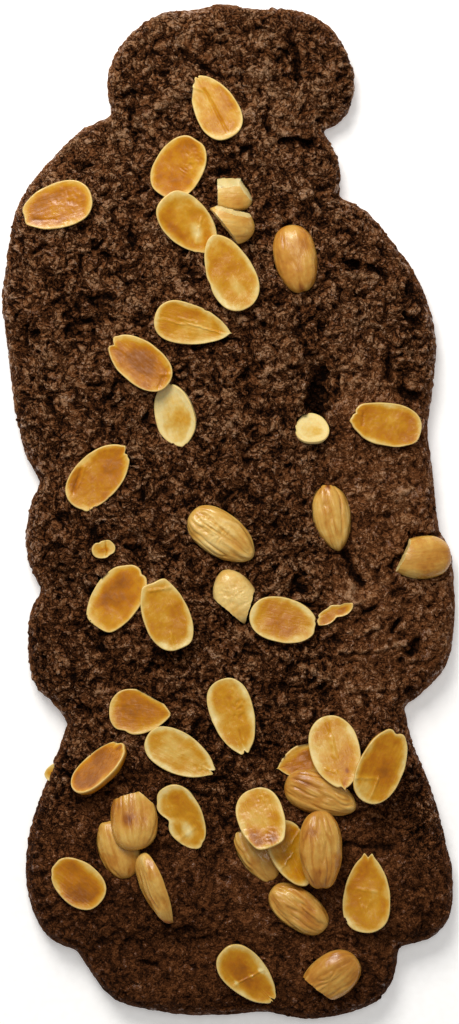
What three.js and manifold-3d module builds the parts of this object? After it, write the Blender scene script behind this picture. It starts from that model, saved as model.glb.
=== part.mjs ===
// A large speculoos figure biscuit, studded with blanched almond halves, lying on its flat baked side.
// The dough is one thick slab in the outline of a figure with a broad hat: it rises from a rounded rim
// to a low crown, is crazed with cracks and hollows, and each almond sits in a socket of its own.
// Millimetres, +Z up, +Y towards the hat.

import * as THREE from "three";
import { mergeVertices } from "three/addons/utils/BufferGeometryUtils.js";
import Module from "manifold-3d";

const wasm = await Module();
wasm.setup();

// ---------------------------------------------------------------- driving dimensions
const OUTLINE_STEP = 4.6; // spacing of the points along the outline
const LATTICE = 5.45; // spacing of the points over the top of the dough
const RIM_HEIGHT = 8.6; // where the crown starts, at the outline
const CROWN_HEIGHT = 13.2; // the dough's thickness well inside the outline
const CROWN_REACH = 8; // how fast it rises from one to the other
const LUMP = { size: 12, rise: 0.8 }; // the slow swell of dough that has spread in the oven
const CRUMB = { size: 5, rise: 0.55 }; // the crags on it
const CLEARANCE = 0.3; // gap between an almond and whatever it sits in or on
const WELD = 0.02; // edges shorter than this are closed up
const HALF_THICKNESS = 4.6; // of a blanched almond split in two
const FLAT_PROUD = 1.7; // rim above the dough, flat face up
const DOME_SUNK = 1.1; // rim below the dough, round side up
const LEAN_REACH = 5; // a nut lies along the dough's slope this far to each side

// The rim's section, from the baking sheet up: how far inside the outline, and how high.
const RIM_SECTION = [
  { inset: 1.3, z: 0 },
  { inset: 0, z: 4 },
  { inset: 1.6, z: 8.4 },
  { inset: 4.8, z: 12 },
  { inset: 5.2, z: 20 },
];

// ---------------------------------------------------------------- outline
// Each lobe of the figure is one smooth curve between two notches, clockwise from under the hat's left end.
const LOBES = {
  hat: [
    [-34.5, 116.5], [-36.3, 124], [-35, 133], [-30.5, 139.5], [-21, 146.8], [-8, 148.3], [-2, 149.8],
    [7, 148], [16.5, 148.8], [27, 145], [34, 138], [37.5, 127], [35, 116], [28, 112],
  ],
  cheek: [[28, 112], [32, 106], [33.5, 98], [33, 92.5]],
  sleeve: [
    [33, 92.5], [40, 89], [48.5, 80], [55.5, 70], [60, 58.5], [61.5, 46.5], [60.3, 34], [59, 24],
    [60.3, 11], [62.3, -6],
  ],
  cuff: [[62.3, -6], [66.3, -13], [66.9, -24], [67.1, -33], [64.5, -45.5], [59, -52.5], [52, -58]],
  skirtRight: [
    [52, -58], [55, -69], [62.5, -89], [66.4, -110], [65.8, -119], [60.5, -125.5], [50.5, -129],
  ],
  foot: [
    [50.5, -129], [49, -138], [44, -145], [36, -148], [24, -150.2], [12, -148.3], [-6, -149],
    [-20, -148.3], [-35, -144], [-40, -138], [-45, -130],
  ],
  skirtLeft: [
    [-45, -130], [-52.5, -126.5], [-58, -118.5], [-60.3, -107], [-59, -95], [-54, -80], [-47.5, -63],
  ],
  hip: [[-47.5, -63], [-51, -57.5], [-57, -53], [-59.5, -42], [-59, -31], [-55.5, -23.5]],
  elbow: [[-55.5, -23.5], [-59, -16.5], [-60, -6], [-58.5, 3.5], [-55.9, 8]],
  shoulder: [
    [-55.9, 8], [-60, 16], [-63, 28], [-65, 42], [-67, 62], [-65.5, 77], [-63, 89], [-55.5, 100.5],
    [-44, 112.5], [-34.5, 116.5],
  ],
};

function outlinePoints() {
  const points = [];
  for (const lobe of Object.values(LOBES)) {
    const curve = new THREE.CatmullRomCurve3(
      lobe.map(([x, y]) => new THREE.Vector3(x, y, 0)),
      false,
      "centripetal",
    );
    const steps = Math.max(3, Math.round(curve.getLength() / OUTLINE_STEP));
    points.push(...curve.getSpacedPoints(steps).slice(0, -1));
  }
  return points.map((p) => new THREE.Vector2(p.x, p.y));
}

const outline = outlinePoints();

// How far (x, y) is from the outline, positive inside.
function depthInside(x, y) {
  let nearest = Infinity;
  let inside = false;
  for (let i = 0; i < outline.length; i++) {
    const a = outline[i];
    const b = outline[(i + 1) % outline.length];
    nearest = Math.min(nearest, distanceToSegment(x, y, a.x, a.y, b.x, b.y));
    if (a.y > y !== b.y > y && x < a.x + ((y - a.y) / (b.y - a.y)) * (b.x - a.x)) inside = !inside;
  }
  return inside ? nearest : -nearest;
}

function distanceToSegment(x, y, ax, ay, bx, by) {
  const length2 = (bx - ax) ** 2 + (by - ay) ** 2;
  const t = THREE.MathUtils.clamp(((x - ax) * (bx - ax) + (y - ay) * (by - ay)) / length2, 0, 1);
  return Math.hypot(x - ax - t * (bx - ax), y - ay - t * (by - ay));
}

function distanceToLine(x, y, line) {
  let nearest = Infinity;
  for (let i = 0; i + 1 < line.length; i++) {
    nearest = Math.min(nearest, distanceToSegment(x, y, ...line[i], ...line[i + 1]));
  }
  return nearest;
}

// ---------------------------------------------------------------- relief of the top
// What is left of the mould's figure after baking: soft folds, ridges and hollows along short lines.
const FOLDS = [
  { name: "hat's right end, lower", rise: -1.6, width: 9, line: [[30, 131], [31, 121]] },
  {
    name: "crease beside that end", rise: -2, width: 2.6,
    line: [[17.6, 132], [20.2, 125.5], [23.7, 118.7], [28.8, 112.8]],
  },
  { name: "brim", rise: 1, width: 2.6, line: [[-12.8, 124.6], [-4, 128.2], [6.3, 130], [18, 129.4]] },
  {
    name: "fold from the hat to the shoulder", rise: 1.2, width: 2.8,
    line: [[-18.7, 122.6], [-26, 117.6], [-32.5, 113]],
  },
  { name: "collar flap", rise: 1, width: 4, line: [[17, 116], [23, 111]] },
  { name: "hollow at the shoulder", rise: -2, width: 3, line: [[-29, 105.5], [-27, 105.5]] },
  { name: "hollow under the arm", rise: -5, width: 3.6, line: [[26.6, 42], [25.4, 29]] },
  { name: "bed of the sunk almond", rise: -2, width: 7, line: [[-19, 31], [-15, 23]] },
  {
    name: "curl in the sleeve", rise: -3.2, width: 2.8,
    line: [[33.8, -11], [36, -18], [38.2, -23], [40.6, -24.6]],
  },
  { name: "lip of that curl", rise: 1.3, width: 2.6, line: [[35, -26.5], [38, -27]] },
  { name: "pit on the left", rise: -3, width: 3, line: [[-29, -10.8], [-26.5, -10.8]] },
  {
    name: "hem above the foot", rise: -1.2, width: 3,
    line: [[-40, -130], [-10, -127], [20, -127], [46, -129]],
  },
];

// A lattice of random heights, the same each run.
function hash(i, j, seed) {
  let h = Math.imul(i, 374761393) ^ Math.imul(j, 668265263) ^ Math.imul(seed, 1274126177);
  h = Math.imul(h ^ (h >>> 13), 1103515245);
  return ((h ^ (h >>> 16)) >>> 0) / 4294967295;
}

// Smooth noise from -1 to 1 whose bumps are `size` across.
function noise(x, y, size, seed) {
  const u = x / size;
  const v = y / size;
  const i = Math.floor(u);
  const j = Math.floor(v);
  const s = THREE.MathUtils.smoothstep(u - i, 0, 1);
  const t = THREE.MathUtils.smoothstep(v - j, 0, 1);
  const low = THREE.MathUtils.lerp(hash(i, j, seed), hash(i + 1, j, seed), s);
  const high = THREE.MathUtils.lerp(hash(i, j + 1, seed), hash(i + 1, j + 1, seed), s);
  return 2 * THREE.MathUtils.lerp(low, high, t) - 1;
}

// The height of the dough without its crags, which is what an almond was pressed into.
function bedHeight(x, y) {
  const depth = Math.max(0, depthInside(x, y));
  let z = RIM_HEIGHT + (CROWN_HEIGHT - RIM_HEIGHT) * (1 - Math.exp(-depth / CROWN_REACH));
  z += LUMP.rise * noise(x, y, LUMP.size, 1);
  for (const { rise, width, line } of FOLDS) {
    z += rise * Math.exp(-((distanceToLine(x, y, line) / width) ** 2));
  }
  return z;
}

function doughHeight(x, y) {
  return bedHeight(x, y) + CRUMB.rise * noise(x, y, CRUMB.size, 2);
}

// ---------------------------------------------------------------- closed meshes from rings of points
// Joins rings of equal length, bottom ring first, and closes both ends: by a fan round a centre point
// where one is given, else by a flat cap.
function loft(rings, bottomCentre = null, topCentre = null) {
  const count = rings[0].length;
  const positions = rings.flat().flatMap((p) => [p.x, p.y, p.z]);
  const index = [];
  for (let r = 0; r + 1 < rings.length; r++) {
    for (let i = 0; i < count; i++) {
      const a = r * count + i;
      const b = r * count + ((i + 1) % count);
      index.push(a, b, b + count, a, b + count, a + count);
    }
  }
  const close = (ring, first, centre, facesUp) => {
    const faces = [];
    if (centre) {
      const middle = positions.length / 3;
      positions.push(centre.x, centre.y, centre.z);
      for (let i = 0; i < count; i++) faces.push([middle, first + i, first + ((i + 1) % count)]);
    } else {
      const flat = ring.map((p) => new THREE.Vector2(p.x, p.y));
      for (const f of THREE.ShapeUtils.triangulateShape(flat, [])) faces.push(f.map((i) => first + i));
    }
    for (const [a, b, c] of faces) index.push(...(facesUp ? [a, b, c] : [a, c, b]));
  };
  close(rings[0], 0, bottomCentre, false);
  close(rings.at(-1), (rings.length - 1) * count, topCentre, true);
  const geometry = new THREE.BufferGeometry();
  geometry.setAttribute("position", new THREE.Float32BufferAttribute(positions, 3));
  geometry.setIndex(index);
  return geometry;
}

function toSolid(geometry) {
  const bare = geometry.index ? geometry.toNonIndexed() : geometry.clone();
  bare.deleteAttribute("normal");
  bare.deleteAttribute("uv");
  const merged = mergeVertices(bare, 1e-4);
  return new wasm.Manifold(
    new wasm.Mesh({
      numProp: 3,
      vertProperties: merged.attributes.position.array,
      triVerts: new Uint32Array(merged.index.array),
    }),
  );
}

function toGeometry(solid) {
  const mesh = solid.getMesh();
  const geometry = new THREE.BufferGeometry();
  geometry.setAttribute("position", new THREE.BufferAttribute(mesh.vertProperties.slice(), 3));
  geometry.setIndex(new THREE.BufferAttribute(mesh.triVerts.slice(), 1));
  geometry.computeVertexNormals();
  return geometry;
}

// ---------------------------------------------------------------- almonds
// x, y: middle of the nut. turn: where its pointed end looks, in degrees from +X. face: which side is up.
// pitch lifts the pointed end and roll lifts the side on its left, in degrees. lift raises it in the dough.
// belly: where it is widest, from -1 at the blunt end to 1 at the point. tip: 1 is sharp, 2 is round.
// breaks: all that lies further than `at` from the middle, looking `angle` degrees round from the point
// and `lean` degrees up, is broken off. well: the dough over it has sunk in, so that it lies open.
const ALMONDS = [
  {
    id: "01", x: -4.1, y: 118.4, length: 20.6, width: 12.9, belly: -0.25, tip: 1.5, turn: 119,
    face: "flat", roll: -4,
  },
  {
    id: "02", x: -14.5, y: 100.6, length: 19.5, width: 14.4, belly: -0.05, tip: 2.4, turn: 58,
    face: "flat", pitch: 5, lift: -0.8,
  },
  {
    id: "03", x: -50.3, y: 89.2, length: 21.3, width: 13.5, belly: -0.2, tip: 2, turn: 196,
    face: "flat", roll: -3,
  },
  {
    id: "04", x: -0.6, y: 93.1, length: 15, width: 11.5, turn: 180, face: "dome",
    breaks: [
      { angle: 2, at: 2.6 },
      { angle: -90, at: 3.8, lean: 34 },
      { angle: -150, at: 5.5, lean: 20 },
    ],
  },
  {
    id: "06", x: -11.5, y: 83.7, length: 21.8, width: 13.7, tip: 1.5, turn: -45, face: "flat",
    pitch: -13,
  },
  {
    id: "05", x: -0.3, y: 84, length: 15, width: 11.5, turn: 165, face: "dome", pitch: 12,
    breaks: [{ angle: -88, at: 4.1, lean: 22 }, { angle: 54, at: 1.5 }],
  },
  {
    id: "07", x: 0.3, y: 69.8, length: 23.7, width: 14, belly: -0.25, turn: 115, face: "flat", pitch: 6,
  },
  {
    id: "08", x: 19.8, y: 73.7, length: 20.4, width: 12.7, belly: -0.1, tip: 2, turn: -78, face: "dome",
  },
  {
    id: "09", x: -10.5, y: 54.3, length: 22.7, width: 12.4, belly: -0.4, tip: 1.35, turn: -12,
    face: "flat", roll: 2,
  },
  {
    id: "10", x: -25.8, y: 43.3, length: 20.8, width: 12.7, belly: -0.05, tip: 2.2, turn: 142,
    face: "flat", lift: 0.4,
  },
  {
    id: "11", x: -16, y: 27.7, length: 18.9, width: 12.6, belly: 0.2, tip: 1.3, turn: -75, face: "flat",
    roll: 17, lift: -1.2, well: true,
  },
  {
    id: "12", x: 24.5, y: 24.6, length: 12.5, width: 10, turn: 92, face: "flat", thickness: 3,
    pitch: -20, lift: -1.8, well: true,
  },
  {
    id: "13", x: 46.4, y: 25.3, length: 21, width: 12.7, belly: -0.1, tip: 2.4, turn: 172, face: "flat",
  },
  {
    id: "14", x: -38.1, y: 10.2, length: 22.9, width: 13.6, belly: -0.05, tip: 1.8, turn: 46,
    face: "flat", roll: 3,
  },
  {
    id: "15", x: 30.3, y: -1.9, length: 20.3, width: 11.3, belly: -0.05, tip: 1.4, turn: -78,
    face: "dome", lift: -1.2,
  },
  {
    id: "16", x: -1.9, y: -7.2, length: 22.4, width: 13, belly: -0.1, turn: -35, face: "dome",
    lift: 0.3,
  },
  {
    id: "17", x: -36.5, y: -11.4, length: 7, width: 5.2, belly: 0, tip: 2, turn: 10, face: "flat",
    thickness: 2.2, lift: -0.8,
  },
  {
    id: "18", x: 56, y: -13.9, length: 19, width: 12.7, turn: 186, face: "dome",
    breaks: [{ angle: -31, at: 5 }],
  },
  {
    id: "19", x: -32.6, y: -25.3, length: 21.3, width: 14.2, belly: 0, tip: 2.4, turn: 55, face: "flat",
    roll: -3,
  },
  {
    id: "20", x: -18.3, y: -30.3, length: 21.9, width: 13.6, tip: 2.3, turn: 112, face: "flat",
    pitch: 3,
  },
  {
    id: "21", x: 1.7, y: -25.2, length: 17, width: 12.7, turn: 112, face: "dome",
    breaks: [{ angle: 118, at: 4.3 }, { angle: -128, at: 5.2 }],
  },
  {
    id: "22", x: 16.1, y: -32.1, length: 20, width: 13.2, belly: -0.05, tip: 2.1, turn: -13,
    face: "flat", lift: 0.2,
  },
  {
    id: "23", x: 31.2, y: -30.2, length: 11.6, width: 4.8, turn: 25, face: "flat", thickness: 2.4,
    lift: -0.4,
  },
  {
    id: "24", x: -25.9, y: -59, length: 18.2, width: 13.4, belly: -0.25, tip: 1.2, turn: -4,
    face: "flat", breaks: [{ angle: -66, at: 5.3 }],
  },
  {
    id: "25", x: 1.3, y: -60.2, length: 22.9, width: 12.9, belly: -0.25, tip: 1.8, turn: -73,
    face: "flat", roll: 3,
  },
  {
    id: "26", x: -14.1, y: -71.3, length: 22.2, width: 12.4, belly: -0.2, tip: 1.5, turn: -28,
    face: "flat", roll: 3,
  },
  {
    id: "27", x: -38.4, y: -74.9, length: 19.4, width: 12, belly: -0.1, tip: 2.6, turn: 42,
    face: "flat", roll: -40, lift: 2,
  },
  {
    id: "29", x: 21.6, y: -73.8, length: 15, width: 10.4, tip: 1.1, turn: 194, face: "flat", lift: -1.4,
  },
  {
    id: "31", x: 27, y: -83.3, length: 22, width: 12.4, belly: -0.2, tip: 1.8, turn: -21, face: "dome",
    roll: 9,
  },
  {
    id: "28", x: 31.3, y: -70.7, length: 21.6, width: 14.6, belly: -0.1, tip: 1.6, turn: -74,
    face: "flat", roll: -5, pitch: 7,
  },
  {
    id: "30", x: 44.6, y: -74.7, length: 22.6, width: 13.8, belly: -0.1, tip: 2.4, turn: 65,
    face: "flat", roll: 9, lift: 0.6,
  },
  {
    id: "33", x: -32.2, y: -99.3, length: 18.2, width: 12.2, belly: 0, tip: 2.2, turn: -72,
    face: "dome", lift: -1.2,
  },
  {
    id: "32", x: -27.8, y: -89.4, length: 20.4, width: 13.8, turn: 96, face: "dome", pitch: -15,
    breaks: [{ angle: 10, at: 6 }, { angle: -45, at: 6.2 }],
  },
  { id: "34", x: -13.5, y: -89.9, length: 20.7, width: 12.2, turn: -61, face: "flat", roll: 4 },
  {
    id: "35", x: -20.4, y: -110.2, length: 22, width: 11.2, belly: -0.25, tip: 1.15, turn: -67,
    face: "dome", roll: 66, lift: 0.5,
  },
  {
    id: "37", x: 8.3, y: -100.8, length: 19.3, width: 10.2, belly: 0, tip: 2.4, turn: -56, face: "dome",
    lift: -1.8,
  },
  {
    id: "38", x: 18.6, y: -100.4, length: 20.5, width: 12.4, belly: -0.1, tip: 1.6, turn: -65,
    face: "flat", roll: -16,
  },
  {
    id: "36", x: 9.5, y: -89.6, length: 18.3, width: 13.7, belly: -0.1, tip: 2.6, turn: -71,
    face: "flat", pitch: 19, roll: 5,
  },
  {
    id: "39", x: 26.8, y: -99.2, length: 23, width: 13.1, belly: -0.1, tip: 2.2, turn: -88,
    face: "dome", roll: -20,
  },
  {
    id: "40", x: 20.5, y: -116.8, length: 19.7, width: 11.6, belly: 0, tip: 2.4, turn: -36,
    face: "dome",
  },
  {
    id: "41", x: -44.2, y: -109, length: 17.8, width: 12.8, belly: -0.1, tip: 2, turn: 140,
    face: "flat",
  },
  {
    id: "42", x: 40.5, y: -112.1, length: 23.2, width: 14, belly: -0.3, tip: 1.5, turn: 88, face: "flat",
    lift: 0.2,
  },
  {
    id: "43", x: 5.8, y: -136.5, length: 21.8, width: 12.4, belly: -0.25, tip: 1.5, turn: -46,
    face: "flat", roll: -3,
  },
  {
    id: "44", x: 29.5, y: -137, length: 20, width: 13.4, turn: 216, face: "dome",
    breaks: [{ angle: 17, at: 4.2 }],
  },
  {
    id: "45", x: -47.8, y: -77.2, length: 14, width: 8, turn: 184, face: "flat", thickness: 3, lift: -6,
  },
];

const SEGMENTS = 12;
const BLUNT = 2.3; // roundness of the blunt end: 2 is an ellipse
const DISH = 0.4; // the flat face is hollow by this much in the middle
const SLICES = [
  // share of the plan's size, and of the thickness, from the flat rim up the dome
  { share: 1, rise: 0 },
  { share: 0.88, rise: 0.6 },
  { share: 0.5, rise: 0.93 },
];

// A nut's half width, from 0 to 1, at `u` along it: -1 is the blunt end and 1 the point.
function halfWidth(u, { belly = -0.15, tip = 1.7 }) {
  const blunt = u < belly;
  const t = blunt ? (belly - u) / (1 + belly) : (u - belly) / (1 - belly);
  return Math.max(0, 1 - t ** (blunt ? BLUNT : 2)) ** (1 / (blunt ? BLUNT : tip));
}

// Its outline on the plane of the flat face, every point moved out by `grow`.
function nutOutline(nut, share, grow) {
  const points = [];
  for (let i = 0; i < SEGMENTS; i++) {
    const angle = (2 * Math.PI * i) / SEGMENTS;
    const u = Math.cos(angle);
    const side = Math.sin(angle) < 0 ? -1 : 1;
    const x = (nut.length / 2 + grow) * share * u;
    const y = (nut.width / 2 + grow) * share * halfWidth(u, nut) * side;
    points.push(new THREE.Vector2(x, y));
  }
  return points;
}

// A split almond, its rim at z = 0, its flat face down and its dome up, its point towards +X,
// and every face of it moved out by `grow`.
function almondSolid(nut, grow = 0) {
  const { thickness = HALF_THICKNESS, breaks = [] } = nut;
  const rings = SLICES.map(({ share, rise }) => {
    const z = rise * (thickness + grow) - (rise > 0 ? 0 : grow);
    return nutOutline(nut, share, grow).map((p) => new THREE.Vector3(p.x, p.y, z));
  });
  const hollow = new THREE.Vector3(0, 0, grow > 0 ? -grow : Math.min(DISH, thickness / 8));
  const crest = new THREE.Vector3(0, 0, thickness + grow);
  let solid = toSolid(loft(rings, hollow, crest));
  for (const { angle, at, lean = 0 } of breaks) solid = solid.subtract(brokenOff(angle, at + grow, lean));
  return solid;
}

function brokenOff(angle, at, lean) {
  const size = 40;
  const block = new THREE.BoxGeometry(size, size, size);
  block.translate(at + size / 2, 0, 0);
  block.rotateY(-THREE.MathUtils.degToRad(lean));
  block.rotateZ(THREE.MathUtils.degToRad(angle));
  return toSolid(block);
}

// Where a nut lies: square to the dough under it, then tilted by its own pitch and roll.
function almondMatrix({ x, y, turn, face, pitch = 0, roll = 0 }, z) {
  const radians = THREE.MathUtils.degToRad;
  const slopeX = (bedHeight(x + LEAN_REACH, y) - bedHeight(x - LEAN_REACH, y)) / (2 * LEAN_REACH);
  const slopeY = (bedHeight(x, y + LEAN_REACH) - bedHeight(x, y - LEAN_REACH)) / (2 * LEAN_REACH);
  const normal = new THREE.Vector3(-slopeX, -slopeY, 1).normalize();
  const lean = new THREE.Quaternion().setFromUnitVectors(new THREE.Vector3(0, 0, 1), normal);
  const pose = new THREE.Euler(radians(roll), radians(-pitch), radians(turn), "ZYX");
  const turned = lean.multiply(new THREE.Quaternion().setFromEuler(pose));
  if (face === "flat") turned.multiply(new THREE.Quaternion().setFromEuler(new THREE.Euler(Math.PI, 0, 0)));
  return new THREE.Matrix4().makeRotationFromQuaternion(turned).setPosition(x, y, z);
}

// The open space over a nut that has sunk in: its outline, straight up and a little wider at the top.
const WELL_RISE = 16;
const WELL_FLARE = 1.2; // mm on each side

function wellSolid(nut, matrix) {
  const ring = (grow) =>
    nutOutline(nut, 1, grow).map((p) => new THREE.Vector3(p.x, p.y, 0).applyMatrix4(matrix));
  const rim = ring(CLEARANCE);
  const mouth = ring(WELL_FLARE).map((p) => new THREE.Vector3(p.x, p.y, p.z + WELL_RISE));
  // With the flat face up, the outline runs clockwise seen from above.
  return toSolid(loft([rim.reverse(), mouth.reverse()]));
}

// ---------------------------------------------------------------- the dough
function insetOutline(inset, z) {
  return outline.map((p, i) => {
    const before = outline.at(i - 1);
    const after = outline[(i + 1) % outline.length];
    const along = new THREE.Vector2().subVectors(after, before).normalize();
    return new THREE.Vector3(p.x + inset * along.y, p.y - inset * along.x, z);
  });
}

function rimSolid() {
  // The outline runs clockwise, so its rings are turned round to face out.
  return toSolid(loft(RIM_SECTION.map(({ inset, z }) => insetOutline(inset, z).reverse())));
}

// A block whose top is the dough's relief, on a lattice whose rows are staggered.
function reliefSolid() {
  const margin = LATTICE;
  const xs = outline.map((p) => p.x);
  const ys = outline.map((p) => p.y);
  const rowStep = (LATTICE * Math.sqrt(3)) / 2;
  const columns = Math.ceil((Math.max(...xs) - Math.min(...xs) + 2 * margin) / LATTICE) + 1;
  const rows = Math.ceil((Math.max(...ys) - Math.min(...ys) + 2 * margin) / rowStep) + 1;
  const left = Math.min(...xs) - margin;
  const front = Math.min(...ys) - margin;
  const positions = [];
  const index = [];
  for (let j = 0; j < rows; j++) {
    for (let i = 0; i < columns; i++) {
      const x = left + (i + (j % 2) / 2) * LATTICE;
      const y = front + j * rowStep;
      positions.push(x, y, doughHeight(x, y));
    }
  }
  const top = positions.length / 3;
  for (let k = 0; k < top; k++) positions.push(positions[3 * k], positions[3 * k + 1], -1);
  for (let j = 0; j + 1 < rows; j++) {
    for (let i = 0; i + 1 < columns; i++) {
      const a = j * columns + i;
      const [b, c, d] = [a + 1, a + columns, a + columns + 1];
      const faces = j % 2 ? [[a, b, d], [a, d, c]] : [[a, b, c], [b, d, c]];
      for (const [p, q, r] of faces) index.push(p, q, r, top + p, top + r, top + q);
    }
  }
  const edge = [];
  for (let i = 0; i < columns; i++) edge.push(i);
  for (let j = 1; j < rows; j++) edge.push(j * columns + columns - 1);
  for (let i = columns - 2; i >= 0; i--) edge.push((rows - 1) * columns + i);
  for (let j = rows - 2; j > 0; j--) edge.push(j * columns);
  edge.forEach((a, k) => {
    const b = edge[(k + 1) % edge.length];
    index.push(a, top + a, top + b, a, top + b, b);
  });
  const geometry = new THREE.BufferGeometry();
  geometry.setAttribute("position", new THREE.Float32BufferAttribute(positions, 3));
  geometry.setIndex(index);
  return toSolid(geometry);
}

// ---------------------------------------------------------------- cracks
// Narrow splits in the crust: wedges that run along a line, deepest in the middle and gone at the ends.
const CRACKS = [
  { depth: 2.4, width: 2.2, line: [[12.5, 109.5], [17, 108], [22, 107.4], [28.5, 108.8]] },
  { depth: 1.8, width: 1.8, line: [[13.2, 118], [12.6, 113.5], [12.4, 109.8]] },
  { depth: 2.6, width: 2.4, line: [[33.5, 74.2], [38.5, 71.6], [45.5, 69.6]] },
  { depth: 1.8, width: 1.8, line: [[30.5, 64.5], [38, 63.2], [46, 62.4]] },
  { depth: 1.8, width: 1.8, line: [[33, 55], [39, 54.5], [45.5, 55.8]] },
  { depth: 2.2, width: 2.2, line: [[27.6, 68], [27.2, 57], [26.8, 47]] },
  { depth: 1.6, width: 1.8, line: [[40, 16], [46, 11], [52, 11.5], [57, 16]] },
  { depth: 1.6, width: 1.8, line: [[27, -31.5], [36, -36], [48, -34], [58, -28]] },
  { depth: 1.6, width: 1.8, line: [[24, -38], [36, -42.5], [50, -40.5], [60, -35]] },
  { depth: 1.8, width: 2, line: [[19.5, -46], [32, -51], [41, -53], [50.5, -53]] },
  { depth: 2.4, width: 2, line: [[-52.5, 32.5], [-53, 25], [-53.6, 18]] },
  { depth: 2, width: 2, line: [[-6, -80.4], [-1, -81.4], [4, -81.2]] },
  { depth: 2.4, width: 2.2, line: [[-16, -124.8], [-12, -123.4], [-8, -121.6]] },
  { depth: 2.4, width: 2.2, line: [[-28, -133.4], [-23.5, -133.2], [-19, -133.6]] },
  { depth: 2, width: 2, line: [[-43, 72], [-35, 73.5], [-30, 71]] },
  { depth: 2, width: 2, line: [[-57, 56], [-50.5, 52], [-44, 51.5]] },
  { depth: 2.2, width: 2.2, line: [[-27, 140], [-19, 136], [-11, 137]] },
];
const CRACK_ABOVE = 2; // the wedge reaches this far over the dough

function crackSolid({ depth, width, line }) {
  const curve = new THREE.CatmullRomCurve3(line.map(([x, y]) => new THREE.Vector3(x, y, 0)));
  const steps = 4;
  const rings = [];
  for (let s = 0; s <= steps; s++) {
    const share = Math.max(0.12, Math.sin((Math.PI * s) / steps));
    const p = curve.getPoint(s / steps);
    const along = curve.getTangent(s / steps);
    const surface = bedHeight(p.x, p.y);
    const reach = (share * width * (depth + CRACK_ABOVE)) / depth / 2;
    rings.push([
      new THREE.Vector3(p.x, p.y, surface - share * depth),
      new THREE.Vector3(p.x - along.y * reach, p.y + along.x * reach, surface + CRACK_ABOVE),
      new THREE.Vector3(p.x + along.y * reach, p.y - along.x * reach, surface + CRACK_ABOVE),
    ]);
  }
  const middle = (ring) => ring[0].clone().add(ring[1]).add(ring[2]).divideScalar(ring.length);
  return toSolid(loft(rings, middle(rings[0]), middle(rings.at(-1))));
}

// ---------------------------------------------------------------- putting it together
const SETTLE_STEP = 0.25; // an almond that lies on others is raised in steps of this until it clears them

function placeAlmonds() {
  const placed = [];
  for (const nut of ALMONDS) {
    const proud = nut.face === "flat" ? FLAT_PROUD : -DOME_SUNK;
    let z = bedHeight(nut.x, nut.y) + proud + (nut.lift ?? 0);
    const grown = almondSolid(nut, CLEARANCE);
    const inWay = () => {
      const here = grown.transform(almondMatrix(nut, z).elements);
      return placed.some((other) => !here.intersect(other.solid).isEmpty());
    };
    while (inWay()) z += SETTLE_STEP;
    const matrix = almondMatrix(nut, z);
    const whole = almondSolid(nut);
    placed.push({ nut, matrix, whole, solid: whole.transform(matrix.elements) });
  }
  return placed;
}

function doughSolid(almonds) {
  let dough = rimSolid().intersect(reliefSolid());
  for (const crack of CRACKS) dough = dough.subtract(crackSolid(crack));
  for (const { nut, matrix } of almonds) {
    dough = dough.subtract(almondSolid(nut, CLEARANCE).transform(matrix.elements));
    if (nut.well) dough = dough.subtract(wellSolid(nut, matrix));
  }
  // Crumbs that the sockets and cracks have cut loose are dropped, and slivers are closed up.
  return dough.decompose().sort((a, b) => b.volume() - a.volume())[0].setTolerance(WELD);
}

const bakedDough = new THREE.MeshStandardMaterial({ color: 0x4b2f1f, roughness: 0.85, metalness: 0 });
const toastedAlmond = new THREE.MeshStandardMaterial({ color: 0xd9a04c, roughness: 0.5, metalness: 0 });
const paleAlmond = new THREE.MeshStandardMaterial({ color: 0xd8b56c, roughness: 0.5, metalness: 0 });

function namedMesh(name, solid, material) {
  const mesh = new THREE.Mesh(toGeometry(solid), material);
  mesh.name = name;
  return mesh;
}

const biscuit = new THREE.Group();
const almonds = placeAlmonds();
biscuit.add(namedMesh("dough", doughSolid(almonds), bakedDough));
for (const { nut, matrix, whole } of almonds) {
  const material = nut.face === "flat" ? toastedAlmond : paleAlmond;
  const mesh = namedMesh(`almond_${nut.face}_${nut.id}`, whole, material);
  mesh.applyMatrix4(matrix);
  biscuit.add(mesh);
}

// The origin goes under the middle of the whole, on the plane it rests on.
const bounds = new THREE.Box3().setFromObject(biscuit);
const middle = bounds.getCenter(new THREE.Vector3());
biscuit.position.set(-middle.x, -middle.y, -bounds.min.z);

export default biscuit;
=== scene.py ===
import math

import bmesh
import bpy
import numpy as np
from mathutils import Matrix, Vector, noise
from mathutils.bvhtree import BVHTree


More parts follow.
